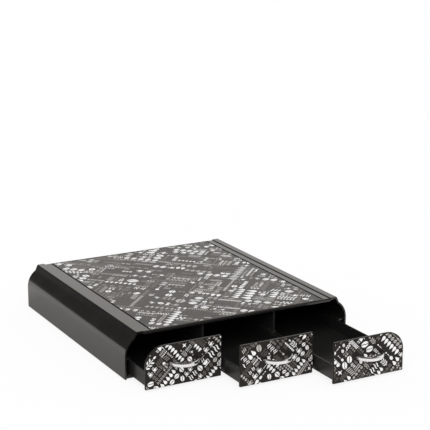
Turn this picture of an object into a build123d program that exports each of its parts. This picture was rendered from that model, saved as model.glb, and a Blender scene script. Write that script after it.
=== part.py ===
from build123d import *

import os
from collections import namedtuple
from math import cos, radians, sin

# Coffee pod organizer: a low housing with a flat printed deck, and three drawers
# side by side under it. Millimetres, +Z up, +X to the right and +Y to the rear.
# The origin is on the table, in the middle of the box round the whole object
# with its drawers pulled out as they stand at rest.

# Housing
HOUSING_WIDTH = 335.0
HOUSING_DEPTH = 335.0
HOUSING_HEIGHT = 61.5        # bottom of the side panels to the top of the rim
FOOT_STAND = 2.0             # table to the bottom of the side panels
SIDE_WALL = 2.5
SHOULDER_RADIUS = 28.0       # round shoulder of the side panel, outside
SHOULDER_ANGLE = 56.0        # turn of the shoulder, in degrees, up to the crease
STEP_HEIGHT = 8.0            # crease to the top of the rim
STEP_RUN = 3.7               # slope of the step, measured level
RIM_WIDTH = 10.5
RIM_THICKNESS = 2.5
RIM_ROUND = 2.2
CREASE_ROUND = 1.6
SIDE_EDGE_ROUND = 0.5
LEDGE_WIDTH = 14.0           # flange of the side panel under the base plate
LEDGE_THICKNESS = 1.6

# Deck and its printed sheet
DECK_DROP = 1.0              # rim top down to the deck
DECK_THICKNESS = 2.5
DECK_EDGE_GAP = 0.15         # deck edge to the edge of the rim
DECK_LAP_OUT = 7.0           # lap of the deck under the rim
DECK_LAP_IN = 4.0            # root of that lap under the deck
LIP_HEIGHT = 3.9             # turned-down front and rear edges, from the deck's top
LIP_THICKNESS = 2.5
LIP_ROUND = 2.0
SHEET_THICKNESS = 1.2
SHEET_GAP = 2.4              # dark groove along the sides and the rear of the printed sheet
SHEET_FRONT_GAP = 0.6
SHEET_ROUND = 0.2
SHEET_SIDE_MARGIN = 9.7      # edge of the deck to the sheet's recess
SHEET_FRONT_MARGIN = 2.4
SHEET_REAR_MARGIN = 1.4
CHANNEL_RIB = 1.5            # ribs under the deck that hold a divider
CHANNEL_DEPTH = 2.0
CHANNEL_FIT = 0.1

# Base, back and dividers
BASE_THICKNESS = 2.0
BASE_SIDE_GAP = 0.2
UPSTAND_HEIGHT = 5.0         # rear edge of the base, behind the back panel
UPSTAND_THICKNESS = 2.0
BACK_THICKNESS = 2.0
BACK_FIT = 0.2
DIVIDER_THICKNESS = 2.0
GUIDE_THICKNESS = 2.0        # ribs over the tray walls, they keep a tray from tipping
GUIDE_CLEARANCE = 0.5
GUIDE_HOLD = 1.5             # how far a guide reaches over a tray wall

# Drawers
FRONT_THICKNESS = 2.6
FACING_THICKNESS = 0.6
FACING_INSET = 0.35
FACING_ROUND = 0.25
FRONT_GAP = 0.8              # between neighbouring fronts
FRONT_SIDE_GAP = 3.7         # outer fronts to the inside of the side panels
FRONT_TOP_GAP = 0.6          # fronts to the deck's lip
FRONT_LIFT = 1.1             # bottom of the fronts above the bottom of the side panels
FRONT_SHOULDER = 25.8        # large round corner of the outer fronts
FRONT_CORNER = 1.0
FRONT_EDGE_ROUND = 0.3
CLOSED_GAP = 0.4             # closed front to the bay's edges
TRAY_INSET = 1.8             # edge of a front to the side of its tray
TRAY_WALL = 2.0
TRAY_FLOOR = 2.0
TRAY_HEIGHT = 19.5
TRAY_CORNER = 3.0
TRAY_EDGE_ROUND = 0.6
TRAY_FLOOR_ROUND = 1.5
TRAY_REAR_GAP = 11.8         # closed tray to the back panel
RUNNER_HEIGHT = 1.4
RUNNER_CLEARANCE = 0.3
RUNNER_HOLD = 4.0            # runner's width under the tray
TRAY_KEPT = 60.5             # length of a tray that stays inside when it is at its stop
STOP_CLEARANCE = 0.3
STOP_LENGTH = 4.0
STOP_WIDTH = 30.0
LUG_LENGTH = 4.0
LUG_WIDTH = 24.0
LUG_INSET = 4.0              # rear of the tray to its lug
LUG_CLEARANCE = 0.5

# Drawers pulled out at rest
LEFT_PULL = 46.5
MIDDLE_PULL = 93.0
RIGHT_PULL = 139.5

# Handles
HANDLE_SPAN = 42.0           # outside, where the bow meets the facing
HANDLE_REACH = 17.5          # facing to the front of the bow
HANDLE_BAND = 3.2
HANDLE_HEIGHT = 5.6
HANDLE_CROWN = 0.6           # swell of the bow's outer face over its height
HANDLE_ROUND = 0.8
HANDLE_LIFT = 6.4            # top of the tray to the middle of the handle

# Feet
FOOT_DIAMETER = 14.0
FOOT_RECESS = 0.8
FOOT_FIT = 0.15
FOOT_CHAMFER = 0.5
FOOT_MARGIN = 26.0           # housing's edge to the middle of a foot

# Screws
SCREW_DIAMETER = 2.0
SCREW_FIT = 0.1
SCREW_HEAD_DIAMETER = 4.0
SCREW_HEAD_HEIGHT = 1.2
SCREW_SLOT_WIDTH = 0.5
SCREW_SLOT_DEPTH = 0.5
SCREW_TIP_GAP = 0.3          # end of a blind hole past the screw's tip
SCREW_SPACING = 120.0        # along the depth of the housing
BASE_SCREW_BITE = 1.0        # thread of a base screw in the runner above the base
RIM_SCREW_BITE = 1.5
HANDLE_SCREW_BITE = 4.0
FRONT_SCREW_BITE = 1.9
FRONT_SCREW_SPACING = 64.0
FRONT_SCREW_DROP = 8.0       # top of the tray to its front screws

Drawer = namedtuple("Drawer", "name column pull")
DRAWERS = [
    Drawer("left", -1, LEFT_PULL),
    Drawer("middle", 0, MIDDLE_PULL),
    Drawer("right", 1, RIGHT_PULL),
]

# Depth: the rear of the housing and the foremost handle are the box's two ends
front_stack = FRONT_THICKNESS + FACING_THICKNESS
total_depth = HOUSING_DEPTH + max(drawer.pull for drawer in DRAWERS) + HANDLE_REACH
rear_y = total_depth / 2
front_y = rear_y - HOUSING_DEPTH
middle_y = (front_y + rear_y) / 2
bay_front_y = front_y + front_stack + CLOSED_GAP
back_rear_y = rear_y - LIP_THICKNESS
back_front_y = back_rear_y - BACK_THICKNESS
bay_depth = back_front_y - bay_front_y
bay_middle_y = (bay_front_y + back_front_y) / 2

# Heights
panel_bottom = FOOT_STAND
rim_top = panel_bottom + HOUSING_HEIGHT
rim_bottom = rim_top - RIM_THICKNESS
deck_top = rim_top - DECK_DROP
deck_bottom = deck_top - DECK_THICKNESS
lap_bottom = rim_bottom - DECK_THICKNESS
lip_bottom = deck_top - LIP_HEIGHT
ledge_top = panel_bottom + LEDGE_THICKNESS
base_bottom = ledge_top
base_top = base_bottom + BASE_THICKNESS
runner_space = RUNNER_HEIGHT + RUNNER_CLEARANCE
tray_bottom = base_top + runner_space
tray_floor = tray_bottom + TRAY_FLOOR
tray_top = tray_bottom + TRAY_HEIGHT
guide_bottom = tray_top + GUIDE_CLEARANCE
front_bottom = panel_bottom + FRONT_LIFT
front_top = lip_bottom - FRONT_TOP_GAP
front_height = front_top - front_bottom
front_middle_z = (front_bottom + front_top) / 2

# Widths, on the right-hand side of the housing
side_out_x = HOUSING_WIDTH / 2
side_in_x = side_out_x - SIDE_WALL
shoulder_x = side_out_x - SHOULDER_RADIUS
crease_x = shoulder_x + SHOULDER_RADIUS * cos(radians(SHOULDER_ANGLE))
crease_z = rim_top - STEP_HEIGHT
shoulder_z = crease_z - SHOULDER_RADIUS * sin(radians(SHOULDER_ANGLE))
rim_out_x = crease_x - STEP_RUN
rim_in_x = rim_out_x - RIM_WIDTH
deck_edge_x = rim_in_x - DECK_EDGE_GAP
front_width = (2 * (side_in_x - FRONT_SIDE_GAP) - 2 * FRONT_GAP) / 3
front_pitch = front_width + FRONT_GAP
divider_x = front_pitch / 2
tray_width = front_width - 2 * TRAY_INSET
tray_side_gap = (front_pitch - tray_width - DIVIDER_THICKNESS) / 2
tray_length = back_front_y - TRAY_REAR_GAP - front_y - front_stack
runner_width = RUNNER_HOLD + tray_side_gap - CHANNEL_FIT
runner_offset = tray_width / 2 - RUNNER_HOLD + runner_width / 2
screw_hole = SCREW_DIAMETER / 2 + SCREW_FIT
screw_rows = [middle_y - SCREW_SPACING, middle_y, middle_y + SCREW_SPACING]
base_screw_x = front_pitch + tray_width / 2 - RUNNER_HOLD / 2
rim_screw_x = rim_in_x + DECK_LAP_OUT / 2

# Pull-out stop: the lug under a tray's rear meets a bar on the base
travel = tray_length - TRAY_KEPT
catch_height = runner_space - LUG_CLEARANCE
closed_lug_front_y = front_y + front_stack + tray_length - LUG_INSET - LUG_LENGTH
stop_middle_y = closed_lug_front_y - travel - STOP_CLEARANCE - STOP_LENGTH / 2

# Handle: a bow that is part of a ring standing through the facing
bow_radius = ((HANDLE_SPAN / 2) ** 2 + HANDLE_REACH**2) / (2 * HANDLE_REACH)
bow_depth = bow_radius - HANDLE_REACH
bow_inside = bow_radius - HANDLE_BAND
bow_brow = bow_radius - HANDLE_CROWN
handle_z = tray_top + HANDLE_LIFT
handle_screw_x = HANDLE_SPAN / 2 - HANDLE_BAND / 2

os.makedirs("parts", exist_ok=True)


def save(piece, name):
    """Label a finished piece and write it as its own file."""
    piece.part.label = name
    export_step(piece.part, f"parts/{name}.step")


def make_screw(length):
    """Screw with its head below z = 0, a cross slot in the head and the shank going up."""
    with BuildPart() as screw:
        with BuildSketch(Plane.XY.offset(-SCREW_HEAD_HEIGHT)):
            Circle(SCREW_HEAD_DIAMETER / 2)
        extrude(amount=SCREW_HEAD_HEIGHT)
        with BuildSketch(Plane.XY):
            Circle(SCREW_DIAMETER / 2)
        extrude(amount=length)
        with BuildSketch(Plane.XY.offset(-SCREW_HEAD_HEIGHT)):
            Rectangle(SCREW_HEAD_DIAMETER / 2, SCREW_SLOT_WIDTH)
            Rectangle(SCREW_SLOT_WIDTH, SCREW_HEAD_DIAMETER / 2)
        extrude(amount=SCREW_SLOT_DEPTH, mode=Mode.SUBTRACT)
    return screw.part


def inside_edge(clearance):
    """Right-hand inside corner of the side panel: arc of the shoulder, then the step's top point."""
    radius = SHOULDER_RADIUS - SIDE_WALL - clearance
    arc = CenterArc((shoulder_x, shoulder_z), radius, 0, SHOULDER_ANGLE)
    top = (rim_out_x - SIDE_WALL - clearance, rim_bottom)
    return arc, top


# Right side panel, and its mirror image on the left
with BuildPart() as right_side_panel:
    with BuildSketch(Plane.XZ.offset(-rear_y)):
        with BuildLine():
            outer_arc = CenterArc((shoulder_x, shoulder_z), SHOULDER_RADIUS, 0, SHOULDER_ANGLE)
            inner_arc, step_top = inside_edge(0)
            Polyline(
                inner_arc @ 0,
                (side_in_x, panel_bottom),
                (side_out_x, panel_bottom),
                outer_arc @ 0,
            )
            Polyline(
                outer_arc @ 1,
                (rim_out_x, rim_top),
                (rim_in_x, rim_top),
                (rim_in_x, rim_bottom),
                step_top,
                inner_arc @ 1,
            )
        make_face()
        fillet(vertices().sort_by_distance((crease_x, crease_z))[0], CREASE_ROUND)
        fillet(vertices().sort_by_distance((rim_out_x, rim_top))[0], RIM_ROUND)
        fillet(vertices().sort_by_distance((rim_in_x, rim_top))[0], SIDE_EDGE_ROUND)
        fillet(vertices().sort_by_distance((side_out_x, panel_bottom))[0], SIDE_EDGE_ROUND)
    extrude(amount=HOUSING_DEPTH)
    panel_ends = faces().filter_by(Axis.Y)
    fillet(panel_ends.edges(), SIDE_EDGE_ROUND)
    # Ledge under the base plate
    with BuildSketch(Plane.XY.offset(panel_bottom)):
        with Locations((side_in_x - LEDGE_WIDTH / 2, bay_middle_y)):
            Rectangle(LEDGE_WIDTH, bay_depth)
    extrude(amount=LEDGE_THICKNESS)
    # Guide rib over the outer wall of the tray
    guide_end_x = front_pitch + tray_width / 2 - GUIDE_HOLD
    with BuildSketch(Plane.XY.offset(guide_bottom)):
        with Locations(((guide_end_x + side_in_x) / 2, bay_middle_y)):
            Rectangle(side_in_x - guide_end_x, bay_depth)
    extrude(amount=GUIDE_THICKNESS)
    with BuildSketch(Plane.XY.offset(panel_bottom)):
        with Locations(*[(base_screw_x, y) for y in screw_rows]):
            Circle(screw_hole)
    extrude(amount=LEDGE_THICKNESS, mode=Mode.SUBTRACT)
    with BuildSketch(Plane.XY.offset(rim_bottom)):
        with Locations(*[(rim_screw_x, y) for y in screw_rows]):
            Circle(screw_hole)
    extrude(amount=RIM_SCREW_BITE + SCREW_TIP_GAP, mode=Mode.SUBTRACT)
save(right_side_panel, "right_side_panel")

with BuildPart() as left_side_panel:
    mirror(right_side_panel.part, about=Plane.YZ)
save(left_side_panel, "left_side_panel")

# Deck: a plate with turned-down ends, laps under the rims and ribs that hold the dividers
with BuildPart() as deck_plate:
    with BuildSketch(Plane.XY.offset(deck_bottom)):
        with Locations((0, middle_y)):
            Rectangle(2 * deck_edge_x, HOUSING_DEPTH)
    extrude(amount=DECK_THICKNESS)
    with BuildSketch(Plane.XY.offset(lip_bottom)):
        with Locations((0, front_y + LIP_THICKNESS / 2), (0, rear_y - LIP_THICKNESS / 2)):
            Rectangle(2 * deck_edge_x, LIP_THICKNESS)
    extrude(amount=LIP_HEIGHT)
    top_ends = edges().filter_by(Axis.X).group_by(Axis.Z)[-1]
    fillet(top_ends, LIP_ROUND)
    lap_middle_x = rim_in_x + (DECK_LAP_OUT - DECK_LAP_IN) / 2
    with BuildSketch(Plane.XY.offset(lap_bottom)):
        with Locations((lap_middle_x, bay_middle_y), (-lap_middle_x, bay_middle_y)):
            Rectangle(DECK_LAP_OUT + DECK_LAP_IN, bay_depth)
    extrude(amount=DECK_THICKNESS)
    with BuildSketch(Plane.XY.offset(deck_bottom)):
        rib_shift = (DIVIDER_THICKNESS + CHANNEL_RIB) / 2 + CHANNEL_FIT
        with Locations((divider_x, bay_middle_y), (-divider_x, bay_middle_y)):
            with Locations((rib_shift, 0), (-rib_shift, 0)):
                Rectangle(CHANNEL_RIB, bay_depth)
    extrude(amount=-CHANNEL_DEPTH)
    recess_front_y = front_y + SHEET_FRONT_MARGIN
    recess_rear_y = rear_y - SHEET_REAR_MARGIN
    recess_depth = recess_rear_y - recess_front_y
    recess_width = 2 * (deck_edge_x - SHEET_SIDE_MARGIN)
    recess_middle_y = (recess_front_y + recess_rear_y) / 2
    with BuildSketch(Plane.XY.offset(deck_top)):
        with Locations((0, recess_middle_y)):
            Rectangle(recess_width, recess_depth)
    extrude(amount=-SHEET_THICKNESS, mode=Mode.SUBTRACT)
    with BuildSketch(Plane.XY.offset(lap_bottom)):
        for side in (-1, 1):
            with Locations(*[(side * rim_screw_x, y) for y in screw_rows]):
                Circle(screw_hole)
    extrude(amount=DECK_THICKNESS, mode=Mode.SUBTRACT)
save(deck_plate, "deck_plate")

# Printed sheet, flush in the deck's recess
with BuildPart() as deck_sheet:
    sheet_front_y = recess_front_y + SHEET_FRONT_GAP
    sheet_rear_y = recess_rear_y - SHEET_GAP
    with BuildSketch(Plane.XY.offset(deck_top - SHEET_THICKNESS)):
        with Locations((0, (sheet_front_y + sheet_rear_y) / 2)):
            Rectangle(recess_width - 2 * SHEET_GAP, sheet_rear_y - sheet_front_y)
    extrude(amount=SHEET_THICKNESS)
    fillet(edges().group_by(Axis.Z)[-1], SHEET_ROUND)
save(deck_sheet, "deck_sheet")

# Base: a plate with a runner under each side of each tray, a stop bar in each bay,
# an upstand behind the back panel and a seat for each foot
foot_places = {
    "front_left_foot": (-side_out_x + FOOT_MARGIN, front_y + FOOT_MARGIN),
    "front_right_foot": (side_out_x - FOOT_MARGIN, front_y + FOOT_MARGIN),
    "rear_left_foot": (-side_out_x + FOOT_MARGIN, rear_y - FOOT_MARGIN),
    "rear_right_foot": (side_out_x - FOOT_MARGIN, rear_y - FOOT_MARGIN),
}
tray_columns = [drawer.column * front_pitch for drawer in DRAWERS]
with BuildPart() as base_plate:
    base_rear_y = back_rear_y + UPSTAND_THICKNESS
    base_width = 2 * (side_in_x - BASE_SIDE_GAP)
    with BuildSketch(Plane.XY.offset(base_bottom)):
        with Locations((0, (bay_front_y + base_rear_y) / 2)):
            Rectangle(base_width, base_rear_y - bay_front_y)
    extrude(amount=BASE_THICKNESS)
    with BuildSketch(Plane.XY.offset(base_top)):
        with Locations(*[(x, bay_middle_y) for x in tray_columns]):
            with Locations((runner_offset, 0), (-runner_offset, 0)):
                Rectangle(runner_width, bay_depth)
    extrude(amount=RUNNER_HEIGHT)
    with BuildSketch(Plane.XY.offset(base_top)):
        with Locations(*[(x, stop_middle_y) for x in tray_columns]):
            Rectangle(STOP_WIDTH, STOP_LENGTH)
    extrude(amount=catch_height)
    with BuildSketch(Plane.XY.offset(base_top)):
        with Locations((0, base_rear_y - UPSTAND_THICKNESS / 2)):
            Rectangle(base_width, UPSTAND_THICKNESS)
    extrude(amount=UPSTAND_HEIGHT)
    with BuildSketch(Plane.XY.offset(base_bottom)):
        with Locations(*foot_places.values()):
            Circle(FOOT_DIAMETER / 2 + FOOT_FIT)
    extrude(amount=FOOT_RECESS, mode=Mode.SUBTRACT)
    with BuildSketch(Plane.XY.offset(base_bottom)):
        for side in (-1, 1):
            with Locations(*[(side * base_screw_x, y) for y in screw_rows]):
                Circle(screw_hole)
    extrude(amount=BASE_THICKNESS + BASE_SCREW_BITE + SCREW_TIP_GAP / 2, mode=Mode.SUBTRACT)
save(base_plate, "base_plate")

# Back panel, cut to the inside of the side panels
with BuildPart() as back_panel:
    with BuildSketch(Plane.XZ.offset(-back_rear_y)):
        with BuildLine():
            back_arc, back_step = inside_edge(BACK_FIT)
            Polyline(back_arc @ 1, (back_step[0], deck_bottom), (0, deck_bottom))
            Polyline(back_arc @ 0, (side_in_x - BACK_FIT, base_top), (0, base_top))
            mirror(about=Plane.YZ)
        make_face()
    extrude(amount=BACK_THICKNESS)
save(back_panel, "back_panel")

# Dividers between the bays, with a guide rib over each neighbouring tray wall
guide_reach = tray_side_gap + GUIDE_HOLD
for side, name in ((-1, "left_divider"), (1, "right_divider")):
    with BuildPart() as divider:
        with BuildSketch(Plane.XY.offset(base_top)):
            with Locations((side * divider_x, bay_middle_y)):
                Rectangle(DIVIDER_THICKNESS, bay_depth)
        extrude(amount=deck_bottom - base_top)
        with BuildSketch(Plane.XY.offset(guide_bottom)):
            with Locations((side * divider_x, bay_middle_y)):
                Rectangle(DIVIDER_THICKNESS + 2 * guide_reach, bay_depth)
        extrude(amount=GUIDE_THICKNESS)
    save(divider, name)

# Rubber feet
for name, place in foot_places.items():
    with BuildPart() as foot:
        with BuildSketch(Plane.XY):
            with Locations(place):
                Circle(FOOT_DIAMETER / 2)
        extrude(amount=base_bottom + FOOT_RECESS)
        chamfer(edges().group_by(Axis.Z)[0], FOOT_CHAMFER)
    save(foot, name)

# Screws of the housing, all driven upwards
with BuildPart() as base_screws:
    base_screw = make_screw(LEDGE_THICKNESS + BASE_THICKNESS + BASE_SCREW_BITE)
    for side in (-1, 1):
        with Locations(*[(side * base_screw_x, y, panel_bottom) for y in screw_rows]):
            add(base_screw)
save(base_screws, "base_screws")

with BuildPart() as deck_screws:
    deck_screw = make_screw(DECK_THICKNESS + RIM_SCREW_BITE)
    for side in (-1, 1):
        with Locations(*[(side * rim_screw_x, y, lap_bottom) for y in screw_rows]):
            add(deck_screw)
save(deck_screws, "deck_screws")


def draw_front(column, inset):
    """Draw a drawer front in the open sketch, with a large round corner on the outer drawers."""
    Rectangle(front_width - 2 * inset, front_height - 2 * inset)
    corners = vertices()
    if column:
        shoulder = corners.sort_by_distance((column * front_width, front_height))[0]
        corners.remove(shoulder)
        fillet(shoulder, FRONT_SHOULDER - inset)
    for corner in corners:
        fillet(vertices().sort_by_distance(corner)[0], FRONT_CORNER)


# The three drawers
for drawer in DRAWERS:
    drawer_x = drawer.column * front_pitch
    facing_y = front_y - drawer.pull
    panel_y = facing_y + FACING_THICKNESS
    tray_front_y = panel_y + FRONT_THICKNESS
    tray_middle_y = tray_front_y + tray_length / 2
    tray_rear_y = tray_front_y + tray_length
    front_screw_z = tray_top - FRONT_SCREW_DROP
    front_screw_spots = [(side * FRONT_SCREW_SPACING / 2, front_screw_z - front_middle_z) for side in (-1, 1)]
    handle_screw_spots = [(side * handle_screw_x, handle_z - front_middle_z) for side in (-1, 1)]

    # Planes that look out of the front: local x to the right, local y up
    tray_face = Plane((drawer_x, tray_front_y, front_middle_z), x_dir=(1, 0, 0), z_dir=(0, -1, 0))
    panel_face = tray_face.offset(FRONT_THICKNESS)

    with BuildPart() as tray:
        with BuildSketch(Plane.XY.offset(tray_bottom)):
            with Locations((drawer_x, tray_middle_y)):
                RectangleRounded(tray_width, tray_length, TRAY_CORNER)
        extrude(amount=TRAY_HEIGHT)
        with BuildSketch(Plane.XY.offset(tray_floor)):
            with Locations((drawer_x, tray_middle_y)):
                RectangleRounded(tray_width - 2 * TRAY_WALL, tray_length - 2 * TRAY_WALL, TRAY_CORNER)
        extrude(amount=TRAY_HEIGHT - TRAY_FLOOR, mode=Mode.SUBTRACT)
        fillet(edges().group_by(Axis.Z)[-1], TRAY_EDGE_ROUND)
        fillet(edges().filter_by_position(Axis.Z, tray_floor, tray_floor), TRAY_FLOOR_ROUND)
        with BuildSketch(Plane.XY.offset(tray_bottom)):
            with Locations((drawer_x, tray_rear_y - LUG_INSET - LUG_LENGTH / 2)):
                Rectangle(LUG_WIDTH, LUG_LENGTH)
        extrude(amount=-catch_height)
        with BuildSketch(tray_face.offset(-TRAY_WALL)):
            with Locations(*front_screw_spots):
                Circle(screw_hole)
        extrude(amount=TRAY_WALL, mode=Mode.SUBTRACT)
    save(tray, f"{drawer.name}_drawer_tray")

    with BuildPart() as front:
        with BuildSketch(tray_face):
            draw_front(drawer.column, 0)
        extrude(amount=FRONT_THICKNESS)
        fillet(faces().filter_by(Axis.Y).edges(), FRONT_EDGE_ROUND)
        with BuildSketch(tray_face):
            with Locations(*handle_screw_spots):
                Circle(screw_hole)
        extrude(amount=FRONT_THICKNESS, mode=Mode.SUBTRACT)
        with BuildSketch(tray_face):
            with Locations(*front_screw_spots):
                Circle(screw_hole)
        extrude(amount=FRONT_SCREW_BITE + SCREW_TIP_GAP, mode=Mode.SUBTRACT)
    save(front, f"{drawer.name}_drawer_front")

    with BuildPart() as facing:
        with BuildSketch(panel_face):
            draw_front(drawer.column, FACING_INSET)
        extrude(amount=FACING_THICKNESS)
        fillet(faces().sort_by(Axis.Y)[0].edges(), FACING_ROUND)
        with BuildSketch(panel_face):
            with Locations(*handle_screw_spots):
                Circle(screw_hole)
        extrude(amount=FACING_THICKNESS, mode=Mode.SUBTRACT)
    save(facing, f"{drawer.name}_drawer_facing")

    # The bow's section, local x out from the middle of its ring and local y up
    bow_middle = (drawer_x, facing_y + bow_depth, handle_z)
    bow_section = Plane(bow_middle, x_dir=(0, -1, 0), z_dir=(-1, 0, 0))
    with BuildPart() as handle:
        with BuildSketch(bow_section):
            with BuildLine():
                Polyline(
                    (bow_brow, HANDLE_HEIGHT / 2),
                    (bow_inside, HANDLE_HEIGHT / 2),
                    (bow_inside, -HANDLE_HEIGHT / 2),
                    (bow_brow, -HANDLE_HEIGHT / 2),
                )
                ThreePointArc((bow_brow, -HANDLE_HEIGHT / 2), (bow_radius, 0), (bow_brow, HANDLE_HEIGHT / 2))
            make_face()
            fillet(vertices(), HANDLE_ROUND)
        revolve(axis=Axis(bow_middle, (0, 0, 1)))
        split(bisect_by=panel_face.offset(FACING_THICKNESS), keep=Keep.TOP)
        with BuildSketch(panel_face.offset(FACING_THICKNESS)):
            with Locations(*handle_screw_spots):
                Circle(screw_hole)
        extrude(amount=HANDLE_SCREW_BITE + SCREW_TIP_GAP, mode=Mode.SUBTRACT)
    save(handle, f"{drawer.name}_drawer_handle")

    with BuildPart() as handle_screws:
        handle_screw = make_screw(front_stack + HANDLE_SCREW_BITE)
        with Locations(tray_face):
            with Locations(*handle_screw_spots):
                add(handle_screw)
    save(handle_screws, f"{drawer.name}_drawer_handle_screws")

    with BuildPart() as front_screws:
        front_screw = make_screw(TRAY_WALL + FRONT_SCREW_BITE)
        with Locations(tray_face.offset(-TRAY_WALL)):
            with Locations(*front_screw_spots):
                add(front_screw)
    save(front_screws, f"{drawer.name}_drawer_front_screws")
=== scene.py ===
"""Looks of the coffee pod organizer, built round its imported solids. Metres, +Z up."""

import logging
import math
import random
from dataclasses import dataclass, field, replace
from enum import Enum
from typing import Any, ClassVar

import bpy
from mathutils import Matrix, Vector

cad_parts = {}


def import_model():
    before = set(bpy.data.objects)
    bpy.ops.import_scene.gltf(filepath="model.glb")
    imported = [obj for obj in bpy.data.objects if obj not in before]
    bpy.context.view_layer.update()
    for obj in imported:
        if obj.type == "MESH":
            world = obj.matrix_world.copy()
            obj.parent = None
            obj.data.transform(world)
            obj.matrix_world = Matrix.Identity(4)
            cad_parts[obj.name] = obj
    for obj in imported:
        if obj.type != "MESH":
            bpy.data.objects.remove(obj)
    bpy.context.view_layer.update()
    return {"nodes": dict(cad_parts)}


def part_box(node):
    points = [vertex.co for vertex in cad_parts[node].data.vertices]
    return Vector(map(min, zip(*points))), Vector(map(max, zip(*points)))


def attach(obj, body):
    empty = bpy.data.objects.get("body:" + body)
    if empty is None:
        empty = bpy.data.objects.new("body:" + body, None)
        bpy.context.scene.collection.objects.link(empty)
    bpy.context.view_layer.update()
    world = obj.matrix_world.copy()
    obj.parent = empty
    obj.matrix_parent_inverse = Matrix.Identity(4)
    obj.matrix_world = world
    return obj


LOG = logging.getLogger("organizer")
MM = 0.001

Point = tuple[float, float]
Outline = list[Point]
Colour = tuple[float, float, float, float]
Nodes = dict[str, bpy.types.Object]
Finishes = dict[Enum, bpy.types.Material]

# Sockets of a Mix node that mixes colours
MIX_FACTOR = 0
MIX_FIRST = 6
MIX_SECOND = 7
MIX_RESULT = 2

# Mean of a noise texture
NOISE_MIDDLE = 0.5

# How far a bevelled normal turns, as 1 less a cosine, where an edge begins to show and where it shows fully
EDGE_FROM = 0.01
EDGE_FULL = 0.2
EDGE_SAMPLES = 6

# Turn at a corner, as twice an area in square millimetres, that still counts as straight on
STRAIGHT_TURN = 1e-9


def linear(*channels: int) -> Colour:
    """Turn a screen colour into the linear colour that shaders take, by the standard curve of a screen.

    Args:
        channels: Red, green and blue from 0 to 255.

    Returns:
        The linear colour with full alpha.
    """
    shares = [channel / 255 for channel in channels]
    levels = [share / 12.92 if share <= 0.04045 else ((share + 0.055) / 1.055) ** 2.4 for share in shares]
    return (*levels, 1.0)


def grey(level: float) -> Colour:
    """Neutral linear colour of that level."""
    return level, level, level, 1.0


def left_of(start: Point, end: Point, point: Point) -> float:
    """How far a point lies on the left of a line, as twice the area between them."""
    return (end[0] - start[0]) * (point[1] - start[1]) - (end[1] - start[1]) * (point[0] - start[0])


class Flow:
    """A node's output that takes part in Python expressions. Each operator adds one Math node."""

    def __init__(self, tree: "NodeTree", socket: bpy.types.NodeSocket | None) -> None:
        """Wrap an output socket of a tree, or nothing for the tree's last node."""
        self.tree = tree
        self.socket = socket

    def _math(self, operation: str, first: "Flow | float", second: "Flow | float") -> "Flow":
        """Add a Math node on two values or links and hand back its result."""
        return self.tree.node("ShaderNodeMath", {"operation": operation}, {0: first, 1: second})

    def __add__(self, other: "Flow | float") -> "Flow":
        """Sum of this and another value."""
        return self._math("ADD", self, other)

    def __radd__(self, other: float) -> "Flow":
        """Sum with a plain number on the left."""
        return self._math("ADD", other, self)

    def __sub__(self, other: "Flow | float") -> "Flow":
        """This less another value."""
        return self._math("SUBTRACT", self, other)

    def __rsub__(self, other: float) -> "Flow":
        """A plain number less this."""
        return self._math("SUBTRACT", other, self)

    def __mul__(self, other: "Flow | float") -> "Flow":
        """Product of this and another value."""
        return self._math("MULTIPLY", self, other)

    def __rmul__(self, other: float) -> "Flow":
        """Product with a plain number on the left."""
        return self._math("MULTIPLY", other, self)

    def __neg__(self) -> "Flow":
        """This with its sign changed."""
        return self._math("MULTIPLY", self, -1.0)

    def __abs__(self) -> "Flow":
        """This without its sign."""
        return self.at_least(-self)

    def at_most(self, other: "Flow | float") -> "Flow":
        """The smaller of this and another value."""
        return self._math("MINIMUM", self, other)

    def at_least(self, other: "Flow | float") -> "Flow":
        """The larger of this and another value."""
        return self._math("MAXIMUM", self, other)

    def held(self) -> "Flow":
        """This held between 0 and 1."""
        return self.at_least(0.0).at_most(1.0)


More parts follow.
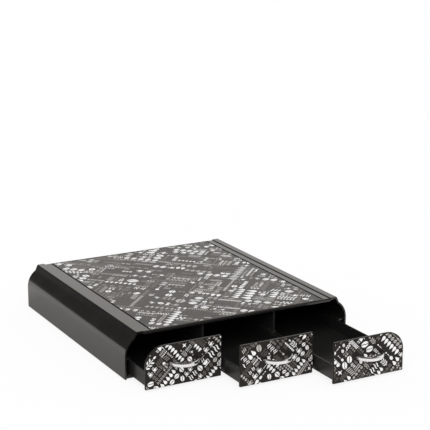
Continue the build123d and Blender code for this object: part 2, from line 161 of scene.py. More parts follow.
class NodeTree:
    """A shader's node tree, filled from code."""

    def __init__(self, tree: bpy.types.NodeTree) -> None:
        """Take over the tree of a material or a world and empty it."""
        self.tree = tree
        self.tree.nodes.clear()

    def node(
        self,
        kind: str,
        settings: dict[str, Any] | None = None,
        inputs: dict[str | int, Any] | None = None,
        output: str | int = 0,
    ) -> Flow:
        """Add a node of any type.

        Args:
            kind: Type of the node.
            settings: Its properties, which are set first.
            inputs: Values or links of its sockets.
            output: The output that is handed back.

        Returns:
            The chosen output.
        """
        made = self.tree.nodes.new(kind)
        for name, value in (settings or {}).items():
            setattr(made, name, value)
        for key, value in (inputs or {}).items():
            if isinstance(value, Flow):
                self.tree.links.new(value.socket, made.inputs[key])
            else:
                made.inputs[key].default_value = value
        return Flow(self, made.outputs[output] if made.outputs else None)

    def other(self, flow: Flow, output: str) -> Flow:
        """Another output of the node that a flow comes from."""
        return Flow(self, flow.socket.node.outputs[output])

    def mix(self, factor: Flow, first: Flow | Colour, second: Flow | Colour) -> Flow:
        """Mix two colours. The factor is the share of the second one."""
        sockets = {MIX_FACTOR: factor, MIX_FIRST: first, MIX_SECOND: second}
        return self.node("ShaderNodeMix", {"data_type": "RGBA"}, sockets, MIX_RESULT)

    def place(self) -> Flow:
        """Place on a piece, in metres of its own."""
        return self.node("ShaderNodeTexCoord", output="Object")

    def noise(self, place: Flow, scale: float, detail: float) -> Flow:
        """Noise from 0 to 1 at a place, with that many lumps to the metre."""
        return self.node("ShaderNodeTexNoise", None, {"Vector": place, "Scale": scale, "Detail": detail})

    def stretched(self, place: Flow, scale: tuple[float, float, float]) -> Flow:
        """A place scaled apart along the three axes."""
        return self.node("ShaderNodeVectorMath", {"operation": "MULTIPLY"}, {0: place, 1: scale})

    def step(self, value: Flow, low: float, high: float) -> Flow:
        """Soft step of a value from 0 at low to 1 at high."""
        inputs = {"Value": value, "From Min": low, "From Max": high}
        return self.node("ShaderNodeMapRange", {"interpolation_type": "SMOOTHSTEP"}, inputs)

    def bump(self, height: Flow, depth: float, strength: float) -> Flow:
        """Normal that a height of that depth in metres gives."""
        return self.node("ShaderNodeBump", None, {"Height": height, "Distance": depth, "Strength": strength})

    def edges(self, radius: float) -> Flow:
        """Mark the sharp edges.

        Args:
            radius: How far the mark reaches from an edge, in metres.

        Returns:
            A mask that is 0 on open faces and rises towards the edges.
        """
        bevelled = self.node("ShaderNodeBevel", {"samples": EDGE_SAMPLES}, {"Radius": radius})
        true_normal = self.node("ShaderNodeNewGeometry", output="Normal")
        agree = self.node("ShaderNodeVectorMath", {"operation": "DOT_PRODUCT"},
                          {0: bevelled, 1: true_normal}, "Value")
        return self.step(1.0 - agree, EDGE_FROM, EDGE_FULL)

    def surface(self, shader: Flow) -> None:
        """Send a shader to the material's output."""
        self.node("ShaderNodeOutputMaterial", None, {"Surface": shader})

    def skin(self, inputs: dict[str, Any]) -> None:
        """Make the material one Principled shader with those values and links."""
        self.surface(self.node("ShaderNodeBsdfPrincipled", None, inputs))


def new_material(name: str) -> tuple[bpy.types.Material, NodeTree]:
    """Make an empty material.

    Args:
        name: Its name.

    Returns:
        The material and its node tree.
    """
    material = bpy.data.materials.new(name)
    material.use_nodes = True
    return material, NodeTree(material.node_tree)


@dataclass(frozen=True)
class MouldedPlastic:
    """Black moulded plastic: fine grain, flow streaks along the depth, paler edges that are partly wear and
    partly a painted highlight.
    """

    name: str
    colour: Colour
    pale_tone_wear_and_highlight: Colour
    roughness: float
    specular: float
    streak_gloss: float = 0.07
    streak_scale: tuple[float, float, float] = (420.0, 5.0, 420.0)
    cloud_gloss: float = 0.05
    cloud_scale: float = 24.0
    gloss_tint: Colour = (1.0, 0.97, 0.945, 1.0)
    grain_size: float = 0.6 * MM
    grain_depth: float = 0.006 * MM
    grain_strength: float = 0.3
    # Paler edges, partly wear and partly a painted highlight of edges catching light, stronger in patches
    edge_reach: float = 0.7 * MM
    even_edge_share: float = 0.35
    edge_patch_from: float = 0.42
    edge_patch_full: float = 0.6
    pale_share: float = 0.2
    fade_swing: float = 0.45

    def material(self) -> bpy.types.Material:
        """Build the finish.

        Returns:
            The material.
        """
        material, tree = new_material(self.name)
        place = tree.place()
        clouds = tree.noise(place, self.cloud_scale, detail=3.0)
        streaks = tree.noise(tree.stretched(place, self.streak_scale), 1.0, detail=2.0) - NOISE_MIDDLE
        grain = tree.noise(place, 1.0 / self.grain_size, detail=1.0)
        patches = tree.step(clouds, self.edge_patch_from, self.edge_patch_full)
        # Painted highlight along the edges, made patchy like wear, mixed towards the paler colour
        edge_wear_and_highlight = tree.edges(self.edge_reach) * (self.even_edge_share + (1.0 - self.even_edge_share) * patches)
        cloudy = clouds - NOISE_MIDDLE
        pale_share = edge_wear_and_highlight + self.fade_swing * cloudy + self.pale_share
        tree.skin({
            "Base Color": tree.mix(pale_share.held(), self.colour, self.pale_tone_wear_and_highlight),
            "Roughness": self.roughness + self.streak_gloss * streaks + self.cloud_gloss * cloudy,
            "Specular IOR Level": self.specular,
            "Specular Tint": self.gloss_tint,
            "Normal": tree.bump(grain, self.grain_depth, self.grain_strength),
        })
        return material


@dataclass(frozen=True)
class PrintedGround:
    """Dark ground of a printed sheet: satin film with the faint screen of the press."""

    name: str
    colour: Colour
    faded: Colour
    roughness: float
    specular: float
    cloud_scale: float = 35.0
    cloud_tone: float = 0.55
    cloud_gloss: float = 0.12
    screen_size: float = 0.55 * MM
    screen_tone: float = 0.5
    screen_depth: float = 0.006 * MM
    screen_strength: float = 0.3

    def material(self) -> bpy.types.Material:
        """Build the finish.

        Returns:
            The material.
        """
        material, tree = new_material(self.name)
        place = tree.place()
        clouds = tree.noise(place, self.cloud_scale, detail=4.0)
        specks = tree.noise(place, 1.0 / self.screen_size, detail=2.0)
        tone = self.cloud_tone * clouds + self.screen_tone * (specks - NOISE_MIDDLE)
        tree.skin({
            "Base Color": tree.mix(tone.held(), self.colour, self.faded),
            "Roughness": self.roughness + self.cloud_gloss * (clouds - NOISE_MIDDLE),
            "Specular IOR Level": self.specular,
            "Normal": tree.bump(specks, self.screen_depth, self.screen_strength),
        })
        return material


class Ink(Enum):
    """The four inks of the print, as screen colours."""

    WHITE = (243, 242, 240)
    PALE = (186, 182, 176)
    MID = (132, 127, 121)
    DARK = (92, 87, 82)


@dataclass(frozen=True)
class PrintInk:
    """One ink of the print, a little uneven where it took to the film."""

    ink: Ink
    roughness: float = 0.5
    specular: float = 0.3
    thin_share: float = 0.86
    cloud_scale: float = 160.0
    cloud_share: float = 0.7
    speck_scale: float = 2600.0
    speck_gloss: float = 0.1
    cover_from: float = 0.35
    cover_full: float = 0.65

    def material(self) -> bpy.types.Material:
        """Build the finish.

        Returns:
            The material.
        """
        material, tree = new_material(f"ink_{self.ink.name.lower()}")
        full = linear(*self.ink.value)
        thin = tuple(self.thin_share * level for level in full[:3]) + (1.0,)
        place = tree.place()
        clouds = tree.noise(place, self.cloud_scale, detail=3.0)
        specks = tree.noise(place, self.speck_scale, detail=1.0)
        laid = self.cloud_share * clouds + (1.0 - self.cloud_share) * specks
        tree.skin({
            "Base Color": tree.mix(tree.step(laid, self.cover_from, self.cover_full), thin, full),
            "Roughness": self.roughness + self.speck_gloss * (specks - NOISE_MIDDLE),
            "Specular IOR Level": self.specular,
        })
        return material


@dataclass(frozen=True)
class BrushedMetal:
    """Bright metal, brushed along one or more axes."""

    name: str
    colour: Colour
    shade: Colour
    roughness: float
    brush: tuple[float, float, float]
    line_from: float = 0.3
    line_full: float = 0.7
    line_gloss: float = 0.14
    line_depth: float = 0.01 * MM
    line_strength: float = 0.25
    smear_scale: float = 90.0
    smear_gloss: float = 0.1

    def material(self) -> bpy.types.Material:
        """Build the finish.

        Returns:
            The material.
        """
        material, tree = new_material(self.name)
        place = tree.place()
        lines = tree.noise(tree.stretched(place, self.brush), 1.0, detail=3.0)
        smears = tree.noise(place, self.smear_scale, detail=2.0) - NOISE_MIDDLE
        bright = tree.step(lines, self.line_from, self.line_full)
        uneven = self.line_gloss * (lines - NOISE_MIDDLE) + self.smear_gloss * smears
        tree.skin({
            "Base Color": tree.mix(bright, self.shade, self.colour),
            "Roughness": self.roughness + uneven,
            "Metallic": 1.0,
            "Normal": tree.bump(lines, self.line_depth, self.line_strength),
        })
        return material


@dataclass(frozen=True)
class FootRubber:
    """Matt black rubber with pale dust in its pores."""

    name: str
    colour: Colour
    dust: Colour
    roughness: float = 0.78
    pore_scale: float = 1900.0
    pore_depth: float = 0.03 * MM
    pore_strength: float = 0.5
    cloud_scale: float = 120.0
    cloud_gloss: float = 0.2
    dust_from: float = 0.25
    dust_full: float = 0.45

    def material(self) -> bpy.types.Material:
        """Build the finish.

        Returns:
            The material.
        """
        material, tree = new_material(self.name)
        place = tree.place()
        pores = tree.noise(place, self.pore_scale, detail=2.0)
        clouds = tree.noise(place, self.cloud_scale, detail=2.0)
        dusty = tree.step(pores * clouds, self.dust_from, self.dust_full)
        tree.skin({
            "Base Color": tree.mix(dusty, self.colour, self.dust),
            "Roughness": self.roughness + self.cloud_gloss * (clouds - NOISE_MIDDLE),
            "Normal": tree.bump(pores, self.pore_depth, self.pore_strength),
        })
        return material


class Shapes:
    """Outlines that the motifs are drawn from, anticlockwise, the larger motifs with all of their parts."""

    @staticmethod
    def arc(middle: Point, across: float, up: float, start: float, end: float, steps: int) -> Outline:
        """Follow part of an ellipse.

        Args:
            middle: Middle of the ellipse.
            across: Half its width.
            up: Half its height.
            start: First angle in degrees.
            end: Last angle in degrees.
            steps: How many steps lie between them.

        Returns:
            The points, with both ends.
        """
        outline = []
        for index in range(steps + 1):
            angle = math.radians(start + (end - start) * index / steps)
            outline.append((middle[0] + across * math.cos(angle), middle[1] + up * math.sin(angle)))
        return outline

    @classmethod
    def disc(cls, middle: Point, across: float, up: float, steps: int = 14) -> Outline:
        """Ellipse round a middle, with its two half widths."""
        return cls.arc(middle, across, up, 0, 360, steps)[:-1]

    @staticmethod
    def bar(start: Point, end: Point, width: float, clipped: float = 0.22, blunt: float = 0.5) -> Outline:
        """Draw a straight stroke with clipped corners.

        Args:
            start: Middle of its first end.
            end: Middle of its last end.
            width: Its width.
            clipped: How far the corners are clipped along it, as a share of the width.
            blunt: Share of the width that an end keeps.

        Returns:
            Its outline.
        """
        run = Vector(end) - Vector(start)
        along = run.normalized()
        side = Vector((-along.y, along.x)) * width / 2
        nip = along * min(width, run.length) * clipped
        corners = [
            Vector(start) + nip - side, Vector(end) - nip - side, Vector(end) - side * blunt,
            Vector(end) + side * blunt, Vector(end) - nip + side, Vector(start) + nip + side,
            Vector(start) + side * blunt, Vector(start) - side * blunt,
        ]
        return [tuple(corner) for corner in corners]

    @staticmethod
    def blade(start: Point, end: Point, right: float, left: float, steps: int = 7) -> Outline:
        """Draw a leaf from tip to tip.

        Args:
            start: First tip.
            end: Last tip.
            right: How far it bulges to the right, or 0 for a straight side.
            left: The same to the left.
            steps: How many steps a bulge has.

        Returns:
            Its outline.
        """
        run = Vector(end) - Vector(start)
        side = Vector((-run.y, run.x)).normalized()
        outline = []
        for bulge, stations in ((-right, range(steps)), (left, range(steps, 0, -1))):
            for station in stations if bulge else stations[:1]:
                share = station / steps
                outline.append(tuple(Vector(start) + run * share + side * bulge * math.sin(math.pi * share)))
        return outline

    @staticmethod
    def wave(start: Point, end: Point, swing: float, width: float, turns: float, steps: int = 12,
             thin_end: float = 0.35) -> Outline:
        """Draw a wavy stroke that thins out at both ends.

        Args:
            start: Its first end.
            end: Its last end.
            swing: How far it sways to each side.
            width: Its width at the middle.
            turns: How many full waves it makes.
            steps: How many steps it has.
            thin_end: Share of the width that is left at the ends.

        Returns:
            Its outline.
        """
        run = Vector(end) - Vector(start)
        side = Vector((-run.y, run.x)).normalized()
        right: Outline = []
        left: Outline = []
        for index in range(steps + 1):
            share = index / steps
            middle = Vector(start) + run * share + side * swing * math.sin(math.tau * turns * share)
            half = side * width / 2 * (thin_end + (1 - thin_end) * math.sin(math.pi * share))
            right.append(tuple(middle - half))
            left.append(tuple(middle + half))
        return right + left[::-1]

    @classmethod
    def star(cls, middle: Point, reach: float, waist: float) -> Outline:
        """Star round a middle, with the reach of its four points and that of the notches between them."""
        pairs = zip(cls.arc(middle, reach, reach, 0, 270, 3), cls.arc(middle, waist, waist, 45, 315, 3))
        return [point for pair in pairs for point in pair]

    @classmethod
    def bean(cls) -> list[Outline]:
        """Draw a coffee bean: two halves of a tilted oval with a curved slit between them.

        Returns:
            The outlines of the halves.
        """
        middle = (0.45, 0.5)
        half_width = 0.33
        half_height = 0.47
        tip_angle = 84
        tilt = math.radians(-28)
        slit = 0.045
        slit_reach = 0.42
        slit_sway = 0.07
        slit_steps = 6
        halves = []
        for side in (-1, 1):
            half = cls.arc((0, 0), side * half_width, side * half_height, -tip_angle, tip_angle, 9)
            for index in range(slit_steps + 1):
                height = slit_reach * (1 - 2 * index / slit_steps)
                half.append((side * (slit + slit_sway * math.sin(math.tau * height)), side * height))
            halves.append([(middle[0] + x * math.cos(tilt) - y * math.sin(tilt),
                            middle[1] + x * math.sin(tilt) + y * math.cos(tilt)) for x, y in half])
        return halves

    @classmethod
    def sprig(cls) -> list[Outline]:
        """Draw a stem with three pairs of leaves and one at its tip.

        Returns:
            The outlines of its parts.
        """
        outlines = [cls.bar((0.0, 0.5), (1.5, 0.5), 0.08)]
        for foot in (0.2, 0.6, 1.0):
            for level, tip in ((0.58, 0.93), (0.42, 0.07)):
                outlines.append(cls.blade((foot, level), (foot + 0.36, tip), 0.1, 0.1, 5))
        return [*outlines, cls.blade((1.54, 0.5), (2.0, 0.5), 0.13, 0.13, 5)]

    @classmethod
    def cup(cls) -> list[Outline]:
        """Draw a cup on its saucer with two wisps of steam.

        Returns:
            The outlines of its parts.
        """
        body = [(0.16, 0.3), (0.26, 0.16), (0.56, 0.16), (0.66, 0.3), (0.72, 0.56), (0.1, 0.56)]
        outer, inner = (cls.arc((0.74, 0.38), radius, radius, -70, 80, 8) for radius in (0.155, 0.085))
        saucer = cls.bar((0.0, 0.07), (0.86, 0.07), 0.08)
        wisps = [cls.wave((x, 0.64), (x, 0.97), 0.05, 0.1, 0.8, 8) for x in (0.3, 0.52)]
        return [body, outer + inner[::-1], saucer, *wisps]


@dataclass(frozen=True)
class Figure:
    """One drawn motif in a cell of height 1: the width that it takes and its outlines."""

    advance: float
    outlines: list[Outline]


class Motif(Enum):
    """The figures that a row of the print can repeat."""

    BEAN = Figure(0.9, Shapes.bean())
    # Leaf along the row, split by its middle vein
    LEAF = Figure(1.24, [
        Shapes.blade((0.06, 0.55), (1.14, 0.55), 0.0, 0.36),
        Shapes.blade((0.06, 0.45), (1.14, 0.45), 0.36, 0.0),
    ])
    SPRIG = Figure(2.15, Shapes.sprig())
    # Round foot under a straight-sided point
    DROP = Figure(0.66, [[(0.3, 0.97), *Shapes.arc((0.3, 0.33), 0.27, 0.29, 158, 382, 11)]])
    # Two wisps that sway together
    STEAM = Figure(0.74, [
        Shapes.wave((0.2, 0.04), (0.2, 0.97), 0.07, 0.17, 1.0),
        Shapes.wave((0.52, 0.04), (0.52, 0.78), 0.07, 0.17, 1.0),
    ])
    CUP = Figure(1.06, Shapes.cup())
    # Bowl, stem and knob along the row
    SPOON = Figure(1.9, [
        Shapes.disc((0.36, 0.5), 0.33, 0.24),
        Shapes.blade((0.74, 0.5), (1.5, 0.5), 0.045, 0.045, 5),
        Shapes.disc((1.62, 0.5), 0.13, 0.1, 10),
    ])
    # Four-pointed spark with a small one beside it
    SPARK = Figure(1.1, [Shapes.star((0.44, 0.5), 0.44, 0.14), Shapes.star((0.88, 0.82), 0.16, 0.06)])
    # Two staggered rows of dots
    DOTS = Figure(0.56, [Shapes.disc((0.2, 0.27), 0.2, 0.2), Shapes.disc((0.48, 0.75), 0.2, 0.2)])
    # Slanted stroke of a hatched band
    HATCH = Figure(0.4, [Shapes.bar((0.04, 0.04), (0.34, 0.96), 0.19)])
    # Upright diamond with a dot in each gap
    DIAMOND = Figure(0.74, [
        [(0.28, 0.03), (0.54, 0.5), (0.28, 0.97), (0.02, 0.5)],
        Shapes.disc((0.65, 0.5), 0.08, 0.08, 8),
    ])
    # Half disc standing on the row with a bar under it
    SCALLOP = Figure(0.94, [
        Shapes.arc((0.45, 0.3), 0.42, 0.62, 0, 180, 10),
        Shapes.bar((0.04, 0.14), (0.86, 0.14), 0.14),
    ])
    # Two ripples that run along the row
    RIPPLE = Figure(2.3, [Shapes.wave((0.05, y), (2.2, y), 0.1, 0.26, 2.0, 18) for y in (0.26, 0.74)])

    @classmethod
    def bold(cls) -> list["Motif"]:
        """Figures that suit the larger rows."""
        return [cls.BEAN, cls.LEAF, cls.SPRIG, cls.DROP, cls.STEAM, cls.CUP, cls.SPOON, cls.SPARK]

    @classmethod
    def fine(cls) -> list["Motif"]:
        """Figures that suit the smaller rows. Ripples are taken twice as often."""
        return [cls.LEAF, cls.SPRIG, cls.HATCH, cls.DIAMOND, cls.SCALLOP, cls.STEAM, cls.RIPPLE, cls.RIPPLE,
                cls.BEAN, cls.DOTS]


# How often a row takes the first ink, the first two and the first three
BOLD_SHARES = (0.88, 0.95, 0.98)
FINE_SHARES = (0.22, 0.48, 0.76)


@dataclass(frozen=True)
class Block:
    """Rectangle of the layout, in millimetres along and across the diagonal."""

    along: float
    across: float
    width: float
    height: float

    def halves(self, cut: float, by_width: bool) -> list["Block"]:
        """Divide the block in two.

        Args:
            cut: Share of the first half.
            by_width: Whether its width is divided, and not its height.

        Returns:
            The two halves.
        """
        if by_width:
            step = self.width * cut
            return [replace(self, width=step),
                    replace(self, along=self.along + step, width=self.width * (1 - cut))]
        step = self.height * cut
        return [replace(self, height=step),
                replace(self, across=self.across + step, height=self.height * (1 - cut))]


@dataclass(frozen=True)
class PrintLayout:
    """How the rows of a print are laid out, in millimetres and shares."""

    row_heights: tuple[float, ...]
    longest: float
    thinnest: float
    gap: float
    slimmest: float = 9.0
    shortest_share: float = 0.6
    cut_from: float = 0.36
    cut_to: float = 0.64
    turn_chance: float = 0.35
    bold_share: float = 0.55
    tries: int = 2

    def blocks(self, reach: float, source: random.Random) -> list[Block]:
        """Divide a square round the sheet into blocks at random.

        Args:
            reach: Half the side of the square.
            source: The print's random source.

        Returns:
            The blocks.
        """
        found: list[Block] = []
        waiting = [Block(-reach, -reach, 2 * reach, 2 * reach)]
        while waiting:
            block = waiting.pop()
            cut = source.uniform(self.cut_from, self.cut_to)
            long_side = max(block.width, block.height)
            short_side = min(block.width, block.height)
            limit = source.choice(self.row_heights)
            share = source.uniform(self.shortest_share, 1.0)
            longest = min(self.longest, self.slimmest * short_side) * share
            if long_side <= longest and short_side <= limit:
                found.append(block)
                continue
            by_width = block.width > block.height
            if short_side > limit and source.random() < self.turn_chance:
                by_width = not by_width
            waiting += block.halves(cut, by_width)
        return found


@dataclass
class Print:
    """Raised print on one sheet: thin closed pads of ink in rows along both diagonals, in millimetres."""

    name: str
    seed: int
    layout: PrintLayout
    origin: Vector
    right: Vector
    up: Vector
    border: Outline
    keep_clear: list[tuple[Point, Point]] = field(default_factory=list)
    proud: float = 0.06
    sunk: float = 0.01
    smallest_area: float = 0.12
    map_margin: float = 0.01
    map_strip: float = 0.02

    def build(self, finishes: Finishes) -> bpy.types.Object:
        """Make the print as one mesh.

        Args:
            finishes: The materials, those of the inks among them.

        Returns:
            The new object, in place.
        """
        pads = self._pads()
        corners: list[Vector] = []
        faces: list[list[int]] = []
        slots: list[int] = []
        flat: list[Point] = []
        order = list(Ink)
        out = self.right.cross(self.up)
        for ink, outline in pads:
            first = len(corners)
            count = len(outline)
            for level in (-self.sunk, self.proud):
                corners += [self.origin + (self.right * x + self.up * y + out * level) * MM
                            for x, y in outline]
                flat += outline
            low = list(range(first, first + count))
            high = list(range(first + count, first + 2 * count))
            faces += [low[::-1], high]
            for index in range(count):
                after = (index + 1) % count
                faces.append([low[index], low[after], high[after], high[index]])
            slots += [order.index(ink)] * (count + 2)
        mesh = bpy.data.meshes.new(self.name)
        mesh.from_pydata(corners, [], faces)
        mesh.polygons.foreach_set("material_index", slots)
        for ink in order:
            mesh.materials.append(finishes[ink])
        self._lay_out_map(mesh, flat, out)
        mesh.update()
        made = bpy.data.objects.new(self.name, mesh)
        bpy.context.scene.collection.objects.link(made)
        LOG.info("%s: %d pads of ink", self.name, len(pads))
        return made

    def _lay_out_map(self, mesh: bpy.types.Mesh, flat: list[Point], out: Vector) -> None:
        """Give the mesh a flat map: upper faces as they lie on the sheet, lower ones in a strip.

        Args:
            mesh: The print's mesh.
            flat: Where each of its corners lies on the sheet.
            out: The way out of the sheet.
        """
        low = [min(point[axis] for point in self.border) for axis in (0, 1)]
        size = [max(point[axis] for point in self.border) - low[axis] for axis in (0, 1)]
        margin = self.map_margin
        sheet_foot = margin + 2 * self.map_strip
        upper = (sheet_foot, 1 - sheet_foot - margin)
        lower = (margin, self.map_strip)
        layer = mesh.uv_layers.new(name="OFBake")
        for face in mesh.polygons:
            foot, height = lower if round(face.normal.dot(out)) < 0 else upper
            for loop in face.loop_indices:
                x, y = flat[mesh.loops[loop].vertex_index]
                u = margin + (1 - 2 * margin) * (x - low[0]) / size[0]
                layer.data[loop].uv = (u, foot + height * (y - low[1]) / size[1])

    def _pads(self) -> list[tuple[Ink, Outline]]:
        """Draw every row and keep what lies on the sheet.

        Returns:
            The ink and the outline of each pad.
        """
        reach = max(math.hypot(*point) for point in self.border)
        turn = math.sqrt(0.5)
        pads: list[tuple[Ink, Outline]] = []
        source = random.Random(self.seed)
        for block in self.layout.blocks(reach, source):
            ink, outlines = self._row(block, source)
            for outline in outlines:
                placed = [((x - y) * turn, (x + y) * turn) for x, y in outline]
                kept = self._clipped(placed)
                if kept and self._is_clear(kept):
                    pads.append((ink, kept))
        return pads

    def _row(self, block: Block, source: random.Random) -> tuple[Ink, list[Outline]]:
        """Fill one block with a row of one figure.

        Args:
            block: The block to fill.
            source: The print's random source.

        Returns:
            The row's ink and its outlines in the layout's own directions.
        """
        draw = source.random()
        picks = [source.random() for _ in range(self.layout.tries)]
        length = max(block.width, block.height) - self.layout.gap
        height = min(block.width, block.height) - self.layout.gap
        bold = height > self.layout.bold_share * max(self.layout.row_heights)
        shares = BOLD_SHARES if bold else FINE_SHARES
        ink = list(Ink)[sum(draw > share for share in shares)]
        if height < self.layout.thinnest:
            return ink, []
        family = Motif.bold() if bold else Motif.fine()
        figures = [family[int(pick * len(family))].value for pick in picks]
        figure = max(figures, key=lambda tried: self._fit(tried, length, height)[1])
        count = self._fit(figure, length, height)[0]
        scale = min(height, length / (figure.advance * count))
        pitch = length / count
        outlines = []
        for index in range(count):
            start = index * pitch + (pitch - figure.advance * scale) / 2
            for outline in figure.outlines:
                points = [(start + x * scale, (height - scale) / 2 + y * scale) for x, y in outline]
                outlines.append([self._in_block(block, point) for point in points])
        return ink, outlines

    @staticmethod
    def _fit(figure: Figure, length: float, height: float) -> tuple[int, float]:
        """Find how many copies of a figure fill a row best.

        Args:
            figure: The figure.
            length: Length of the row.
            height: Height of the row.

        Returns:
            The count and the share of the row that it fills.
        """
        room = length / (figure.advance * height)
        fewer = max(1, int(room))
        counts = (fewer, fewer + 1)
        fills = [count * min(1.0, room / count) ** 2 / room for count in counts]
        best = fills.index(max(fills))
        return counts[best], fills[best]

    def _in_block(self, block: Block, point: Point) -> Point:
        """Move a point of a row into its block, turned where the block stands upright.

        Args:
            block: The block.
            point: Place along the row and above its foot.

        Returns:
            The place in the layout.
        """
        margin = self.layout.gap / 2
        if block.width >= block.height:
            return block.along + margin + point[0], block.across + margin + point[1]
        return block.along + block.width - margin - point[1], block.across + margin + point[0]

    def _clipped(self, outline: Outline) -> Outline:
        """Cut an outline at the sheet's border.

        Args:
            outline: The outline, anticlockwise.

        Returns:
            What lies inside, or nothing where little is left or a hollow outline is cut.
        """
        kept = outline
        for start, end in zip(self.border, self.border[1:] + self.border[:1]):
            kept = self._cut(kept, start, end)
            if len(kept) < 3:
                return []
        if len(kept) != len(outline) and not self._is_round(outline):
            return []
        return kept if self._area(kept) > self.smallest_area else []

    @staticmethod
    def _cut(outline: Outline, start: Point, end: Point) -> Outline:
        """Cut an outline along a line.

        Args:
            outline: The outline.
            start: First point of the line.
            end: Last point of the line.

        Returns:
            What lies on the left of the line.
        """
        kept: Outline = []
        for index, here in enumerate(outline):
            before = outline[index - 1]
            now = left_of(start, end, here)
            then = left_of(start, end, before)
            if (now > 0) != (then > 0):
                share = then / (then - now)
                kept.append((before[0] + (here[0] - before[0]) * share,
                             before[1] + (here[1] - before[1]) * share))
            if now > 0:
                kept.append(here)
        return kept

    @staticmethod
    def _area(outline: Outline) -> float:
        """Area inside an outline."""
        return 0.5 * sum(outline[index - 1][0] * point[1] - point[0] * outline[index - 1][1]
                         for index, point in enumerate(outline))

    @staticmethod
    def _is_round(outline: Outline) -> bool:
        """Whether an outline turns left, or runs straight on, at every corner."""
        return all(left_of(outline[index - 2], outline[index - 1], point) >= -STRAIGHT_TURN
                   for index, point in enumerate(outline))

    def _is_clear(self, outline: Outline) -> bool:
        """Whether an outline stays off the places that other pieces stand on."""
        spans = [sorted(point[axis] for point in outline) for axis in (0, 1)]
        return all(any(span[-1] < low[axis] or span[0] > high[axis] for axis, span in enumerate(spans))
                   for low, high in self.keep_clear)


class Coat(Enum):
    """The finishes of the organizer's solids."""

    # The second colour of a moulded plastic is its paler tone, used for its worn edges and their painted
    # highlight
    HOUSING = MouldedPlastic("satin_black_plastic", grey(0.006), linear(50, 47, 44), 0.13, 0.66)
    INNER = MouldedPlastic("matt_black_plastic", grey(0.014), linear(48, 47, 46), 0.5, 0.4)
    DRAWER = MouldedPlastic("tray_plastic", grey(0.009), linear(48, 46, 44), 0.3, 0.3, streak_gloss=0.02)
    DECK_FILM = PrintedGround("deck_film", linear(26, 24, 22), linear(40, 37, 34), 0.33, 0.3)
    FRONT_FILM = PrintedGround("front_film", linear(28, 25, 22), linear(42, 38, 34), 0.5, 0.2)
    HANDLE = BrushedMetal("bright_handle", linear(250, 250, 249), linear(226, 226, 228), 0.15,
                          brush=(60.0, 60.0, 2600.0))
    RUBBER = FootRubber("foot_rubber", grey(0.012), grey(0.06))
    SCREW = BrushedMetal("zinc_screw", linear(190, 190, 188), linear(150, 150, 152), 0.34,
                         brush=(900.0, 900.0, 900.0))


def make_finishes() -> Finishes:
    """Build every finish and every ink once."""
    coats = {coat: coat.value.material() for coat in Coat}
    return coats | {ink: PrintInk(ink).material() for ink in Ink}


def dress(node: bpy.types.Object, material: bpy.types.Material) -> None:
    """Put a finish on a solid of the frame.

    Args:
        node: The solid.
        material: Its finish.
    """
    node.data.materials.clear()
    node.data.materials.append(material)
    LOG.info("%s: %s", node.name, material.name)


def sheet_border(width: float, height: float, corners: tuple[float, float, float, float]) -> Outline:
    """Outline of a sheet round its middle, in millimetres.

    Args:
        width: Its width.
        height: Its height.
        corners: Radii of its corners, anticlockwise from the lower left.

    Returns:
        The outline, anticlockwise.
    """
    steps = 10
    border: Outline = []
    for index, radius in enumerate(corners):
        side = -1 if index in (0, 3) else 1
        level = -1 if index in (0, 1) else 1
        middle = (side * (width / 2 - radius), level * (height / 2 - radius))
        start = 180 + 90 * index
        border += Shapes.arc(middle, radius, radius, start, start + 90, steps)
    return border


@dataclass
class Housing:
    """Side panels, deck, base, back, dividers, feet and their screws. Sizes in millimetres."""

    nodes: Nodes
    finishes: Finishes
    sheet_round: float = 0.3
    sheet_corner: float = 0.4
    seed: int = 44
    layout: PrintLayout = PrintLayout((6.0, 8.0, 11.0, 15.0, 19.0), longest=84.0, thinnest=2.4, gap=1.0)

    def dress(self) -> None:
        """Put the finishes on the housing's solids."""
        feet = [f"{end}_{side}_foot" for end in ("front", "rear") for side in ("left", "right")]
        coats = {
            Coat.HOUSING: ("left_side_panel", "right_side_panel", "deck_plate"),
            Coat.INNER: ("base_plate", "back_panel", "left_divider", "right_divider"),
            Coat.DECK_FILM: ("deck_sheet",),
            Coat.RUBBER: feet,
            Coat.SCREW: ("base_screws", "deck_screws"),
        }
        for coat, names in coats.items():
            for name in names:
                dress(self.nodes[name], self.finishes[coat])

    def box(self) -> tuple[Vector, Vector]:
        """Lowest and highest corner of the housing, from side panel to side panel."""
        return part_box("left_side_panel")[0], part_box("right_side_panel")[1]

    def make_print(self) -> bpy.types.Object:
        """Print the deck's sheet.

        Returns:
            The print, riding on the housing.
        """
        low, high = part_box("deck_sheet")
        size = (high - low) / MM
        inset = 2 * self.sheet_round
        made = Print(
            name="deck_print",
            seed=self.seed,
            layout=self.layout,
            origin=Vector(((low.x + high.x) / 2, (low.y + high.y) / 2, high.z)),
            right=Vector((1, 0, 0)),
            up=Vector((0, 1, 0)),
            border=sheet_border(size.x - inset, size.y - inset, (self.sheet_corner,) * 4),
        ).build(self.finishes)
        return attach(made, "housing")


class Place(Enum):
    """Which of the three drawers one is."""

    LEFT = "left"
    MIDDLE = "middle"
    RIGHT = "right"


